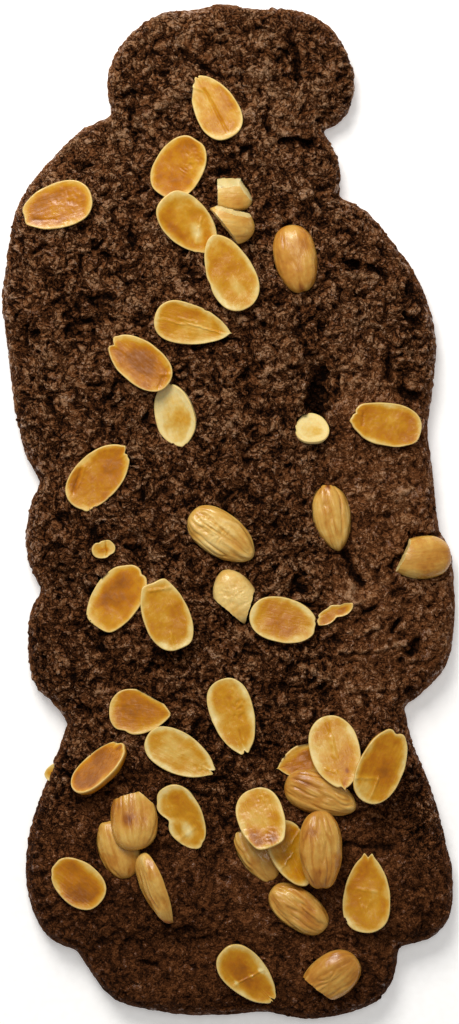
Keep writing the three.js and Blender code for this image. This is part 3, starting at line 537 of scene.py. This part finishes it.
# For each nut: `turn` is where its point looks, in degrees from +X. `size` is its length and width in mm,
# and `shape` where it is widest, from -1 at the blunt end to 1 at the point, and how round its point is:
# 1 is sharp, 2 is round. `breaks` are broken ends: which way each looks, in degrees round from the point,
# its distance from the middle, and the degrees it leans up. `tone` is how far the nut is toasted, from 0,
# ivory, to 1, dark caramel, and `groove` the depth of its back's grooves, in mm. Places on it run from
# -1 to 1, seen from above with the point to the right: u to the point, v to the left of it. `edge` pushes
# the outline in or out, in mm, at an angle and over a spread in degrees; `patch` toasts or bleaches a
# spot (u, v, size, change); `line` raises or sinks a line (u, v, u, v, half width, height, both in mm);
# `wrinkle` roughens a spot (u, v, size, mm).
ALMONDS = {
    "01": dict(turn=119, size=(20.6, 12.9), shape=(-0.25, 1.5), tone=0.44, edge=[(3, 5, -0.7),
               (14, 5, 0.3)], patch=[(0.7, 0.5, 0.3, -0.1), (-0.4, -0.4, 0.4, 0.1)],
               line=[(-0.85, 0.05, 0.55, 0.02, 0.35, -0.28), (0.55, 0.1, 0.8, 0.45, 0.4, 0.25)]),
    "02": dict(turn=58, size=(19.5, 14.4), shape=(-0.05, 2.4), tone=0.54, edge=[(0, 14, -0.3),
               (150, 16, 0.3)], patch=[(-0.6, 0.3, 0.5, 0.08)], wrinkle=[(0.45, -0.35, 0.45, 0.3)]),
    "03": dict(turn=196, size=(21.3, 13.5), shape=(-0.2, 2), tone=0.64, edge=[(0, 12, -0.5), (25, 10, 0.4)],
               line=[(0.15, 0.55, 0.75, 0.25, 0.35, -0.2)], wrinkle=[(-0.4, -0.1, 0.4, 0.22)]),
    "04": dict(turn=180, size=(15, 11.5), breaks=[(2, 2.6, 0), (-90, 3.8, 34), (-150, 5.5, 20)], tone=0.3,
               groove=0.05, edge=[(150, 20, 0.5), (200, 14, 0.7)], patch=[(-0.2, 0.5, 0.5, 0.2)]),
    "05": dict(turn=165, size=(15, 11.5), breaks=[(-88, 4.1, 22), (54, 1.5, 0)], tone=0.3,
               edge=[(180, 20, 0.6)], patch=[(-0.4, 0.3, 0.6, 0.1)]),
    "06": dict(turn=-45, size=(21.8, 13.7), shape=(-0.15, 1.5), tone=0.44, edge=[(150, 14, 0.3)],
               patch=[(0.25, 0.1, 0.22, -0.4), (0.42, -0.15, 0.2, -0.4), (-0.1, -0.75, 0.35, 0.35),
               (-0.3, 0.05, 0.35, -0.12)], line=[(0.1, 0.55, 0.5, -0.35, 0.3, 0.16)]),
    "07": dict(turn=115, size=(23.7, 14), shape=(-0.25, 1.7), tone=0.4, edge=[(95, 6, -0.25)],
               patch=[(-0.55, -0.1, 0.22, -0.2), (-0.3, 0.05, 0.2, -0.16), (0.3, 0.5, 0.5, 0.08)]),
    "08": dict(turn=-78, size=(20.4, 12.7), shape=(-0.1, 2), tone=0.56, groove=0.12, edge=[(0, 12, -0.5)],
               patch=[(-0.75, 0.1, 0.35, -0.3), (0.85, 0, 0.14, 0.35)]),
    "09": dict(turn=-12, size=(22.7, 12.4), shape=(-0.4, 1.35), tone=0.4, edge=[(0, 5, 0.5),
               (75, 3, -0.35)], patch=[(-0.3, 0.6, 0.4, 0.14)], line=[(-0.9, -0.02, -0.25, -0.08, 0.3, 0.2),
               (-0.1, 0.02, 0.8, -0.1, 0.3, 0.22), (-0.4, 0.2, 0.1, 0.15, 0.3, 0.12)]),
    "10": dict(turn=142, size=(20.8, 12.7), shape=(-0.05, 2.2), tone=0.7, edge=[(6, 5, -1.0), (-9, 6, 0.5),
               (20, 8, 0.3)], patch=[(-0.1, 0, 0.45, 0.42), (0.1, 0.1, 0.3, 0.2)],
               line=[(-0.85, 0.4, -0.7, -0.6, 0.5, -0.25), (-0.7, -0.2, -0.85, -0.4, 0.4, 0.2)]),
    "11": dict(turn=-75, size=(18.9, 12.6), shape=(0.2, 1.3), tone=0.02, edge=[(180, 14, 0.3)],
               patch=[(0.3, 0.35, 0.5, 0.16), (-0.5, -0.4, 0.6, -0.1)]),
    "12": dict(turn=92, size=(12.5, 10), thickness=3, tone=0.0),
    "13": dict(turn=172, size=(21, 12.7), shape=(-0.1, 2.4), tone=0.54, edge=[(-42, 16, 0.6),
               (35, 16, -0.6), (-16, 4, -0.6), (3, 5, 0.6), (150, 14, 0.4)],
               patch=[(0.1, -0.05, 0.4, -0.12), (-0.5, 0, 0.4, 0.1)],
               line=[(0.72, -0.3, 0.68, 0.2, 0.3, -0.3)], wrinkle=[(-0.35, 0.1, 0.3, 0.12),
               (0.3, -0.2, 0.25, 0.1)]),
    "14": dict(turn=46, size=(22.9, 13.6), shape=(-0.05, 1.8), tone=0.6, edge=[(-12, 6, -1.1),
               (-24, 5, -0.5), (215, 8, 0.7), (5, 5, 0.4)], patch=[(0.1, -0.1, 0.5, 0.14),
               (-0.6, 0.5, 0.25, 0.12)], line=[(-0.75, 0.3, -0.2, 0.75, 0.4, -0.35),
               (-0.6, 0.3, -0.1, 0.68, 0.3, 0.2)]),
    "15": dict(turn=-78, size=(20.3, 11.3), shape=(-0.05, 1.4), tone=0.4, groove=0.36,
               edge=[(150, 18, -0.4), (210, 18, -0.4)], patch=[(-0.94, 0.1, 0.12, 0.7)]),
    "16": dict(turn=-35, size=(22.4, 13), shape=(-0.1, 1.7), tone=0.3, groove=0.4,
               patch=[(-0.2, -0.5, 0.5, -0.1)], wrinkle=[(-0.35, 0.1, 0.45, 0.5)]),
    "17": dict(turn=10, size=(7, 5.2), shape=(0, 2), thickness=2.2, tone=0.62, edge=[(-60, 20, -0.4),
               (60, 16, 0.3), (110, 10, -0.3)], line=[(0.3, 1, 0.15, -1, 0.25, -0.3)]),
    "18": dict(turn=186, size=(19, 12.7), breaks=[(-31, 5, 0)], tone=0.48, groove=0.08,
               patch=[(0.4, 0.8, 0.3, -0.3)]),
    "19": dict(turn=55, size=(21.3, 14.2), shape=(0, 2.4), tone=0.52, edge=[(30, 18, -0.6), (-14, 8, -0.8),
               (150, 16, 0.5), (210, 16, 0.5)], patch=[(0.05, 0.1, 0.55, 0.24), (-0.75, 0.3, 0.2, -0.1)]),
    "20": dict(turn=112, size=(21.9, 13.6), shape=(-0.15, 2.3), tone=0.4, edge=[(0, 18, -1.0), (30, 8, 0.3),
               (-30, 8, 0.3), (205, 14, 0.5)], patch=[(-0.7, 0.45, 0.22, -0.14), (0.3, 0.2, 0.3, 0.14),
               (-0.2, -0.4, 0.4, 0.12)], line=[(-0.9, 0.2, -0.5, 0.1, 0.3, 0.18),
               (0.62, -0.6, 0.75, 0.3, 0.4, 0.3)]),
    "21": dict(turn=112, size=(17, 12.7), breaks=[(118, 4.3, 0), (-128, 5.2, 0)], tone=0.2, groove=0.0,
               wrinkle=[(0.1, 0, 0.7, 0.3)]),
    "22": dict(turn=-13, size=(20, 13.2), shape=(-0.05, 2.1), tone=0.46, edge=[(0, 12, -0.5),
               (16, 5, -0.4)], patch=[(0.85, -0.15, 0.14, -0.3)]),
    "23": dict(turn=25, size=(11.6, 4.8), thickness=2.4, tone=0.58, edge=[(-90, 28, -1.1), (90, 10, 0.4),
               (60, 9, -0.4), (20, 12, 0.5), (160, 10, -0.6), (200, 10, 0.4)]),
    "24": dict(turn=-4, size=(18.2, 13.4), shape=(-0.25, 1.2), breaks=[(-66, 5.3, 0)], tone=0.62,
               edge=[(0, 6, -0.3), (-121, 12, -0.8)], patch=[(0, 0.2, 0.5, 0.12)]),
    "25": dict(turn=-73, size=(22.9, 12.9), shape=(-0.25, 1.8), tone=0.36, edge=[(4, 4, -0.9), (14, 6, 0.4),
               (-12, 6, 0.3)], patch=[(0.5, -0.3, 0.4, 0.12)], line=[(0.4, 0.05, 0.95, 0.05, 0.3, -0.2)],
               wrinkle=[(-0.35, 0.3, 0.5, 0.2)]),
    "26": dict(turn=-28, size=(22.2, 12.4), shape=(-0.2, 1.5), tone=0.28, edge=[(0, 6, -1.0), (14, 8, 0.5),
               (-14, 8, 0.5)], patch=[(-0.1, 0, 0.4, -0.12), (0.6, 0.4, 0.3, 0.16), (-0.8, 0, 0.3, 0.1)],
               wrinkle=[(0.65, -0.1, 0.3, 0.25)]),
    "27": dict(turn=42, size=(19.4, 12), shape=(-0.1, 2.6), tone=0.78, edge=[(0, 6, 0.5), (14, 7, -0.5)],
               patch=[(0.9, 0, 0.14, 0.3)]),
    "28": dict(turn=-74, size=(21.6, 14.6), shape=(-0.1, 1.6), tone=0.42, edge=[(-4, 4, 0.7),
               (-14, 6, -0.5), (180, 24, 0.4)], patch=[(0.55, 0.25, 0.08, 0.4), (0.93, 0, 0.12, 0.35),
               (-0.2, -0.5, 0.3, -0.15)], line=[(-1, 0.02, -0.5, -0.02, 0.35, -0.3),
               (-0.5, 0, 0.1, -0.05, 0.6, 0.25), (0.35, -0.55, 0.5, -0.2, 0.4, 0.3)]),
    "29": dict(turn=194, size=(15, 10.4), shape=(-0.15, 1.1), tone=0.6, edge=[(0, 8, 0.6)]),
    "30": dict(turn=65, size=(22.6, 13.8), shape=(-0.1, 2.4), tone=0.52, edge=[(0, 6, -0.8), (18, 8, 0.3),
               (-18, 8, 0.3)], patch=[(-0.65, 0.35, 0.3, -0.25), (0.2, -0.2, 0.4, 0.14)],
               line=[(-0.55, 0.9, -0.3, -0.1, 0.4, 0.25), (-0.9, -0.1, -0.3, -0.1, 0.3, 0.2)]),
    "31": dict(turn=-21, size=(22, 12.4), shape=(-0.2, 1.8), tone=0.46, groove=0.3, edge=[(-60, 30, -0.7)],
               patch=[(-0.6, 0.5, 0.3, 0.25)]),
    "32": dict(turn=96, size=(20.4, 13.8), breaks=[(10, 6, 0), (-45, 6.2, 0)], tone=0.5, groove=0.2,
               edge=[(150, 25, 0.3)], patch=[(-0.2, 0.3, 0.2, 0.35), (0.7, -0.4, 0.3, -0.2)]),
    "33": dict(turn=-72, size=(18.2, 12.2), shape=(0, 2.2), tone=0.46, groove=0.24, edge=[(200, 14, 0.6)]),
    "34": dict(turn=-61, size=(20.7, 12.2), tone=0.34, edge=[(-100, 16, -2.0), (-140, 12, -0.6),
               (20, 8, -0.3)], patch=[(0.35, -0.1, 0.25, -0.35), (-0.5, 0.3, 0.4, 0.15)],
               line=[(0.5, -0.7, 0.42, 0.3, 0.5, 0.2)]),
    "35": dict(turn=-67, size=(22, 11.2), shape=(-0.25, 1.15), tone=0.46, groove=0.26,
               patch=[(0.95, 0, 0.16, 0.5), (-0.8, 0.3, 0.3, -0.2)]),
    "36": dict(turn=-71, size=(18.3, 13.7), shape=(-0.1, 2.6), tone=0.36, gloss=True, edge=[(-30, 14, 0.4),
               (30, 14, 0.4)], patch=[(0.6, -0.5, 0.35, 0.4), (0.75, 0.2, 0.3, 0.34),
               (0.1, 0.5, 0.25, 0.2)], wrinkle=[(-0.5, 0.25, 0.35, 0.2), (0.5, 0.1, 0.3, 0.2)]),
    "37": dict(turn=-56, size=(19.3, 10.2), shape=(0, 2.4), tone=0.32, groove=0.3),
    # Its low tone is partly painted light, to offset the shade on its steeply tilted side.
    "38": dict(turn=-65, size=(20.5, 12.4), shape=(-0.1, 1.6), tone=0.38, edge=[(180, 20, 0.3)],
               line=[(-0.5, 0.9, -0.15, -0.3, 0.3, 0.25), (0.0, 0.1, 0.25, -0.85, 0.3, 0.25)]),
    "39": dict(turn=-88, size=(23, 13.1), shape=(-0.1, 2.2), tone=0.56, groove=0.26, edge=[(0, 10, -0.5)]),
    "40": dict(turn=-36, size=(19.7, 11.6), shape=(0, 2.4), tone=0.48, groove=0.55,
               patch=[(-0.6, 0.4, 0.4, -0.2)]),
    "41": dict(turn=140, size=(17.8, 12.8), shape=(-0.1, 2), tone=0.66, edge=[(0, 14, -0.3), (30, 8, -0.3)],
               patch=[(0, 0, 0.6, 0.12)]),
    "42": dict(turn=88, size=(23.2, 14), shape=(-0.3, 1.5), tone=0.5, edge=[(0, 9, -0.9), (17, 6, 0.7),
               (-17, 6, 0.7)], patch=[(0.05, 0.0, 0.14, 0.14), (0.8, 0, 0.2, 0.12),
               (-0.2, -0.6, 0.3, 0.14)], line=[(-0.4, 0.2, -0.15, 0.3, 0.25, 0.2),
               (-0.42, 0, -0.18, -0.15, 0.25, 0.2), (0.1, 0.4, 0.05, -0.4, 0.4, 0.15)]),
    "43": dict(turn=-46, size=(21.8, 12.4), shape=(-0.25, 1.5), tone=0.4, edge=[(6, 4, -1.5), (-8, 4, -0.6),
               (24, 6, 0.3)], patch=[(-0.15, -0.1, 0.5, 0.22), (0.13, 0.6, 0.1, -0.5),
               (0.05, 0.1, 0.09, -0.35), (-0.1, -0.6, 0.09, -0.4)], line=[(0.15, 0.7, 0.05, 0.1, 0.3, 0.2),
               (0.05, 0.1, -0.1, -0.8, 0.3, 0.2), (-0.45, -0.55, -0.1, -0.62, 0.25, 0.15)]),
    "44": dict(turn=216, size=(20, 13.4), breaks=[(17, 4.2, 0)], tone=0.54, groove=0.2),
    "45": dict(turn=184, size=(14, 8), thickness=3, tone=0.35, edge=[(150, 18, 0.4)]),
}


def nut_frame(node, spec):
    """Where a nut of the frame lies: a matrix from its own axes, its point along X and its back along Z."""
    merged = bmesh.new()
    merged.from_mesh(node.data)
    bmesh.ops.remove_doubles(merged, verts=merged.verts, dist=0.001 * MM)
    merged.normal_update()
    # The cut face is the largest set of faces that look nearly the same way, a fan round its middle.
    best_area = 0
    for start in merged.faces:
        alike = [f for f in merged.faces if f.normal.dot(start.normal) > math.cos(math.radians(14))]
        area = sum(f.calc_area() for f in alike)
        if area > best_area:
            best_area, cut_faces = area, alike
    facing = np.array(sum((f.normal * f.calc_area() for f in cut_faces), Vector()).normalized())
    corners = {v for f in cut_faces for v in f.verts}
    centre = max(corners, key=lambda v: len(v.link_faces))
    middle = np.array(centre.co) / MM
    rim = np.array([v.co for v in corners if v is not centre]) / MM
    merged.free()
    # Its plane goes through the rim, and leaves out what a break has cut across the hollow middle.
    for _ in range(4):
        on_plane = rim.mean(axis=0)
        normal = np.linalg.svd(rim - on_plane)[2][2]
        normal *= math.copysign(1, normal @ facing)
        rim = rim[(rim - on_plane) @ normal > -0.06]
    z_axis = Vector(-normal)
    towards = Vector((math.cos(math.radians(spec["turn"])), math.sin(math.radians(spec["turn"])), 0))
    towards.z = -towards.dot(z_axis) / z_axis.z
    if "breaks" not in spec:
        tip = rim[np.argmax(rim @ np.array(towards))]
        blunt = rim[np.argmin(rim @ np.array(towards))]
        towards = Vector(tip - blunt)
    x_axis = towards.normalized()
    axes = Matrix((x_axis, z_axis.cross(x_axis), z_axis)).transposed()
    origin = Vector(middle + normal * ((on_plane - middle) @ normal))
    return Matrix.Translation(origin * MM) @ axes.to_4x4()


def half_width(u, belly, tip):
    """A nut's half width, from 0 to 1, at u along it: -1 is the blunt end and 1 the point."""
    blunt = u < belly
    reach = np.where(blunt, (belly - u) / (1 + belly), (u - belly) / (1 - belly))
    power = np.where(blunt, BLUNT, 2)
    return np.maximum(0, 1 - np.minimum(reach, 1) ** power) ** (1 / np.where(blunt, BLUNT, tip))


def nut_edge(angles, spec, mirror):
    """The outline of a nut round its middle, with its own dents and corners."""
    length, width = spec["size"]
    along = np.cos(angles)
    across = half_width(along, *spec.get("shape", (-0.15, 1.7))) * np.sign(np.sin(angles))
    across[np.abs(np.sin(angles)) < 1e-6] = 0
    edge = np.stack([length / 2 * along, width / 2 * across], axis=1)
    radius = np.linalg.norm(edge, axis=1)
    direction = edge / radius[:, None]
    for centre, spread, push in spec.get("edge", []):
        off = (np.degrees(angles) - mirror * centre + 180) % 360 - 180
        radius = radius + push * np.exp(-((off / spread) ** 2))
    return direction * radius[:, None]


def break_end(piece, facing, at, lean, seed):
    """Breaks an end off a nut. The break is torn: the nut is bent a little, cut straight, and bent back."""
    mesh = piece.data
    out = Vector((math.cos(facing) * math.cos(lean), math.sin(facing) * math.cos(lean), math.sin(lean)))
    bent = read_points(mesh)
    tear = 0.22 * noise_at(bent, 2.4, seed + 12) + 0.05 * noise_at(bent, 0.8, seed + 14)
    write_points(mesh, bent + np.array(out)[None, :] * tear[:, None])
    keep_value(mesh, "tear", tear)
    select_only(piece)
    bpy.ops.object.mode_set(mode="EDIT")
    bpy.ops.mesh.select_all(action="SELECT")
    bpy.ops.mesh.bisect(plane_co=out * at * MM, plane_no=out, use_fill=True, clear_outer=True)
    bpy.ops.mesh.quads_convert_to_tris(quad_method="BEAUTY", ngon_method="BEAUTY")
    bpy.ops.object.mode_set(mode="OBJECT")
    for face in mesh.polygons:
        if face.select:
            face.material_index = 1
    tears = np.empty(len(mesh.vertices))
    mesh.attributes["tear"].data.foreach_get("value", tears)
    write_points(mesh, read_points(mesh) - np.array(out)[None, :] * tears[:, None])
    mesh.attributes.remove(mesh.attributes["tear"])


def make_nut(number, node, spec):
    """One split almond in the place of its node."""
    flat = "_flat_" in node.name
    mirror = -1 if flat else 1  # a nut with its cut face up is seen from its other side
    place = nut_frame(node, spec)
    length, width = spec["size"]
    thickness = spec.get("thickness", HALF_THICKNESS)
    seed = int(number) * 7.3
    bpy.ops.object.select_all(action="DESELECT")
    bpy.ops.mesh.primitive_uv_sphere_add(segments=ROUND_STEPS, ring_count=RING_STEPS, radius=1)
    piece = bpy.context.active_object
    piece.name = piece.data.name = "almond_" + number
    mesh = piece.data
    unit = read_points(mesh) * MM
    ring = np.round(np.arccos(np.clip(unit[:, 2], -1, 1)) / math.pi * RING_STEPS)
    angles = np.arctan2(unit[:, 1], unit[:, 0])
    edge = nut_edge(angles, spec, mirror)
    reach = np.linalg.norm(edge, axis=1)

    # From the middle of the back, over the rim, to the middle of the cut face.
    back = np.clip(ring / BACK_RINGS, 0, 1) * math.pi / 2
    over = np.clip((ring - BACK_RINGS) / RIM_RINGS, 0, 1) * math.pi / 2
    inward = np.clip((ring - BACK_RINGS - RIM_RINGS) / (RING_STEPS - BACK_RINGS - RIM_RINGS), 0, 1)
    share = np.sin(back) ** (2 / FULLNESS)
    height = RIM_RADIUS + (thickness - RIM_RADIUS) * np.cos(back) ** (2 / FULLNESS)
    on_rim = ring > BACK_RINGS
    rim_share = 1 - RIM_RADIUS * (1 - np.cos(over)) / reach
    share = np.where(on_rim, rim_share * (1 - inward**1.15), share)
    height = np.where(on_rim, RIM_RADIUS * (1 - np.sin(over)), height)
    points = np.column_stack([edge * share[:, None], height])
    write_points(mesh, points)
    normals = read_normals(mesh)

    # Relief: a shallow dish in the cut face, grooves along the back, and this nut's own marks.
    u = points[:, 0] / (length / 2)
    v = mirror * points[:, 1] / (width / 2)
    cut = soft_step(0.6, 0.95, -normals[:, 2])
    around = np.arctan2(points[:, 2], points[:, 1])
    across = points[:, 1] if flat else around * width / 2
    marks = np.column_stack([points[:, 0], across, np.full(len(points), seed)])
    relief = -cut * min(DISH, thickness / 8) * (1 - share**4)
    relief += cut * (0.16 * noise_at(points, 3.6, seed) + 0.05 * noise_at(points, 1.3, seed + 1))
    from_edge = (1 - share) * reach + 0.15 * noise_at(points, 1.4, seed + 16)
    margin = from_edge + 1.6 * noise_at(points, 5.5, seed + 18)
    # The rim is painted paler all round, as a painted highlight along the cut face's edge and the foot of
    # the back.
    rim = cut * soft_step(0.7, 0.2, from_edge) + (1 - cut) * np.exp(-((points[:, 2] / 0.6) ** 2))
    toast = np.full(len(points), float(spec["tone"])) - 0.1 * (1 - cut)
    toast += 0.26 * noise_at(points, 7, seed + 2) + 0.13 * noise_at(points, 2.8, seed + 4)
    toast += 0.42 * cut * (soft_step(0.1, 2.4, margin) - 0.72)
    depth = spec.get("groove", 0.16)
    wandering = marks * np.array([0.08, 0.36, 1]) + 0.3 * noise_at(points, 5, seed)[:, None]
    channel = noise_at(wandering, 1, 3)
    finer = noise_at(wandering * np.array([1, 1.9, 1]), 1, 8)
    grooves = np.exp(-((channel / 0.2) ** 2)) + 0.35 * np.exp(-((finer / 0.2) ** 2))
    fade = (1 - cut) * soft_step(0.25, 1.6, points[:, 2]) * soft_step(1.02, 0.78, np.abs(u))
    relief -= depth * grooves * fade
    relief += (1 - cut) * 0.14 * noise_at(points, 4, seed + 20)
    # The grooves are also coloured darker, as painted shade in them.
    toast += min(1, depth / 0.25) * 0.16 * (grooves - 0.35) * fade
    shown = cut if flat else 1 - cut
    for at_u, at_v, spread, change in spec.get("patch", []):
        distance = ((u - at_u) ** 2 + (v - at_v) ** 2) / spread**2
        toast += change * shown * np.exp(-(distance**1.6) * (1 + 0.4 * noise_at(points, 1.8, seed + 6)))
    for u1, v1, u2, v2, half_width, rise in spec.get("line", []):
        line = [(u1 * length / 2, v1 * width / 2), (u2 * length / 2, v2 * width / 2)]
        seen = np.column_stack([points[:, 0], mirror * points[:, 1]])
        seen = seen + 0.35 * noise_at(points, 1.7, seed + 8)[:, None]
        near = np.exp(-((line_distance(seen, line) / half_width) ** 2)) * shown
        relief += rise * near
        # A sunk line is painted darker, as painted shade in it, and a raised one paler.
        toast += near * (0.12 if rise < 0 else -0.1)
    for at_u, at_v, spread, rise in spec.get("wrinkle", []):
        spot = np.exp(-(((u - at_u) ** 2 + (v - at_v) ** 2) / spread**2)) * shown
        fold = 1 - 2 * np.abs(noise_at(points * np.array([1, 0.45, 0.5]), 0.95, seed + 10))
        relief += rise * spot * (fold - 0.6)
        # The wrinkles' hollows are painted darker and their folds paler, as painted shade and light.
        toast -= 0.14 * spot * (fold - 0.6)
    write_points(mesh, points + normals * relief[:, None])
    keep_value(mesh, "toast", np.clip(toast, 0, 1))
    keep_value(mesh, "rim", np.clip(rim, 0, 1))
    along = mesh.attributes.new("along", "FLOAT_VECTOR", "POINT")
    along.data.foreach_set("vector", np.column_stack([marks[:, :2], marks[:, 2] * 3]).ravel())

    mesh.materials.append(blanched_cut if flat else blanched_back)
    mesh.materials.append(broken_flesh)
    for facing, at, lean in spec.get("breaks", []):
        break_end(piece, math.radians(facing), at, math.radians(lean), seed)

    mesh.transform(place)
    select_only(piece)
    bpy.ops.object.shade_smooth_by_angle(angle=math.radians(50))
    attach(piece, "root")
    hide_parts(node.name)


def almond_material(name, stops, rim_highlight_colour, roughness, streaks):
    """Toasted blanched almond: waxy and a little see-through, with a thin film of its own oil."""
    material, tree = new_material(name)
    toast = add_node(tree, "ShaderNodeAttribute", attribute_name="toast").outputs["Fac"]
    rim = add_node(tree, "ShaderNodeAttribute", attribute_name="rim").outputs["Fac"]
    along = add_node(tree, "ShaderNodeAttribute", attribute_name="along").outputs["Vector"]
    fibres = add_node(
        tree, "ShaderNodeMapping", {"Vector": along, "Scale": (0.22, 1.5, 1)}, vector_type="POINT"
    ).outputs[0]
    fibre = add_node(tree, "ShaderNodeTexNoise", {"Vector": fibres, "Scale": 1.0, "Detail": 5.0})
    mottle = add_node(tree, "ShaderNodeTexNoise", {"Vector": along, "Scale": 0.9, "Detail": 4.0})
    shade = add_node(
        tree, "ShaderNodeMath", {0: fibre.outputs["Fac"], 1: streaks, 2: toast},
        operation="MULTIPLY_ADD",
    ).outputs[0]
    shade = add_node(
        tree, "ShaderNodeMath", {0: mottle.outputs["Fac"], 1: 0.36, 2: shade},
        operation="MULTIPLY_ADD",
    ).outputs[0]
    shade = add_node(
        tree, "ShaderNodeMath", {0: shade, 1: 0.18 + streaks / 2}, operation="SUBTRACT",
    ).outputs[0]
    colour = add_node(tree, "ShaderNodeValToRGB", {"Fac": shade}, stops=stops).outputs["Color"]
    # The rim gets the paler rim colour, as a painted highlight along the edge.
    pale = add_node(tree, "ShaderNodeMath", {0: rim, 1: 0.8}, operation="MULTIPLY").outputs[0]
    edged = add_node(
        tree, "ShaderNodeMix", {0: pale, 6: colour, 7: from_hex(rim_highlight_colour)}, data_type="RGBA"
    ).outputs[2]
    gloss = add_node(
        tree, "ShaderNodeMapRange",
        {"Value": mottle.outputs["Fac"], "From Min": 0.35, "From Max": 0.7,
         "To Min": roughness - 0.08, "To Max": roughness + 0.1},
    ).outputs[0]
    grain = add_node(
        tree, "ShaderNodeMath", {0: fibre.outputs["Fac"], 1: mottle.outputs["Fac"]}, operation="ADD",
    ).outputs[0]
    bump = add_node(
        tree, "ShaderNodeBump", {"Height": grain, "Strength": 0.5, "Distance": 0.16 * MM}
    ).outputs[0]
    shader = add_node(
        tree, "ShaderNodeBsdfPrincipled",
        {"Base Color": edged, "Roughness": gloss, "Normal": bump, "IOR": 1.47,
         "Specular IOR Level": 0.45,
         "Subsurface Weight": 0.12, "Subsurface Scale": 1.2 * MM,
         "Subsurface Radius": (1.0, 0.6, 0.25)},
    )
    add_node(tree, "ShaderNodeOutputMaterial", {"Surface": shader.outputs[0]})
    return material


blanched_cut = almond_material(
    "toasted_almond_cut_face",
    [(0.0, "#ecd592"), (0.25, "#dcb358"), (0.5, "#cc8f18"), (0.75, "#b87004"), (1.0, "#95550a")],
    "#e4c67c", 0.28, 0.06,
)
blanched_back = almond_material(
    "toasted_almond_round_face",
    [(0.0, "#e8c77c"), (0.25, "#d5a650"), (0.5, "#c08331"), (0.75, "#9a5a1b"), (1.0, "#68350e")],
    "#cfa250", 0.27, 0.08,
)
broken_flesh = almond_material(
    "broken_almond_flesh",
    [(0.0, "#e6d49c"), (0.4, "#d8bd78"), (0.7, "#c0964c"), (1.0, "#a0763a")],
    "#d8bd78", 0.5, 0.2,
)

for name in sorted(almond_nodes):
    number = name[-2:]
    make_nut(number, almond_nodes[name], ALMONDS[number])

# ------------------------------------------------------------------ floor, light and camera
# A plain pale table under soft studio light from the hat's side, seen from straight above.
FLOOR_SIZE = 6.0
FLOOR_GAP = 0.0002  # below the cookie
CAMERA_HEIGHT = 1.2637
CAMERA_CENTRE = (0.0002, -0.00014)
LENS, SENSOR = 150, 36  # mm

bpy.ops.object.select_all(action="DESELECT")
bpy.ops.mesh.primitive_plane_add(size=FLOOR_SIZE, location=(0, 0, cad_box[0][2] - FLOOR_GAP))
table = bpy.context.active_object
table.name = table.data.name = "table"
paper, tree = new_material("pale_paper")
fibre = add_node(
    tree, "ShaderNodeTexNoise",
    {"Vector": add_node(tree, "ShaderNodeTexCoord").outputs["Object"], "Scale": 1 / (2 * MM)},
)
tint = add_node(
    tree, "ShaderNodeValToRGB", {"Fac": fibre.outputs["Fac"]}, stops=[(0.3, "#f6f5f3"), (0.7, "#fbfaf9")],
).outputs["Color"]
# The paper glows a little too, as painted light that keeps the cookie's shadow on it faint.
surface = add_node(
    tree, "ShaderNodeBsdfPrincipled",
    {"Base Color": tint, "Roughness": 0.8, "Emission Color": tint, "Emission Strength": 0.3},
)
add_node(tree, "ShaderNodeOutputMaterial", {"Surface": surface.outputs[0]})
table.data.materials.append(paper)

world = bpy.data.worlds.new("studio")
world.use_nodes = True
world.node_tree.nodes["Background"].inputs["Color"].default_value = (1.0, 0.985, 0.965, 1)
world.node_tree.nodes["Background"].inputs["Strength"].default_value = 0.24
bpy.context.scene.world = world


def add_softbox(name, place, size, power, colour):
    """A square soft light that looks at the cookie."""
    bpy.ops.object.light_add(type="AREA", location=place)
    light = bpy.context.active_object
    light.name = name
    light.data.size = size
    light.data.energy = power
    light.data.color = colour
    light.rotation_euler = (-Vector(place)).to_track_quat("-Z", "Y").to_euler()


add_softbox("softbox_behind_hat", (-0.2, 0.55, 0.62), 0.4, 6.7, (1.0, 0.98, 0.95))
add_softbox("softbox_overhead", (0.14, 0.3, 1.5), 0.5, 3.2, (1.0, 0.985, 0.97))

bpy.ops.object.camera_add(location=(*CAMERA_CENTRE, CAMERA_HEIGHT), rotation=(0, 0, 0))
camera = bpy.context.active_object
camera.name = "camera"
camera.data.lens = LENS
camera.data.sensor_width = SENSOR
bpy.context.scene.camera = camera
bpy.context.scene.view_settings.view_transform = "Standard"
